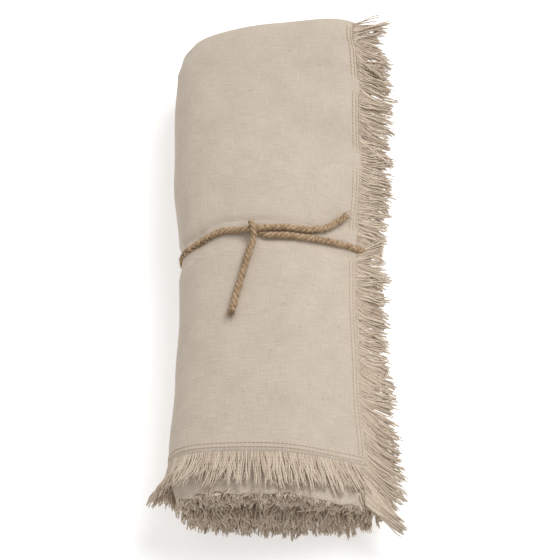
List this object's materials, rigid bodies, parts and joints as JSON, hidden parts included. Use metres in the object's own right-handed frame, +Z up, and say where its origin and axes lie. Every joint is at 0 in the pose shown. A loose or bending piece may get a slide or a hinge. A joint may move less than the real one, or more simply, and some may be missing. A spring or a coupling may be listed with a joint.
{
  "type": "folded tablecloth",
  "caption": "Fringed cotton tablecloth folded lengthwise, rolled into a flattened bundle and tied round the middle with jute twine.",
  "frame": {"origin": "on the table under the middle of the cloth and its fringe", "axes": "+Z up, +Y along the roll towards its folded end, +X towards the cloth's free end"},
  "size_m": [0.1794, 0.3804, 0.0915],
  "materials": {
    "cotton": "matte plain weave",
    "fringe": "matte yarn",
    "jute": "matte fibrous twine"
  },
  "bodies": {
    "root": {"cloth": "cotton", "fringe_open_end": "fringe", "fringe_free_end": "fringe", "twine": "jute"}
  },
  "joints": []
}
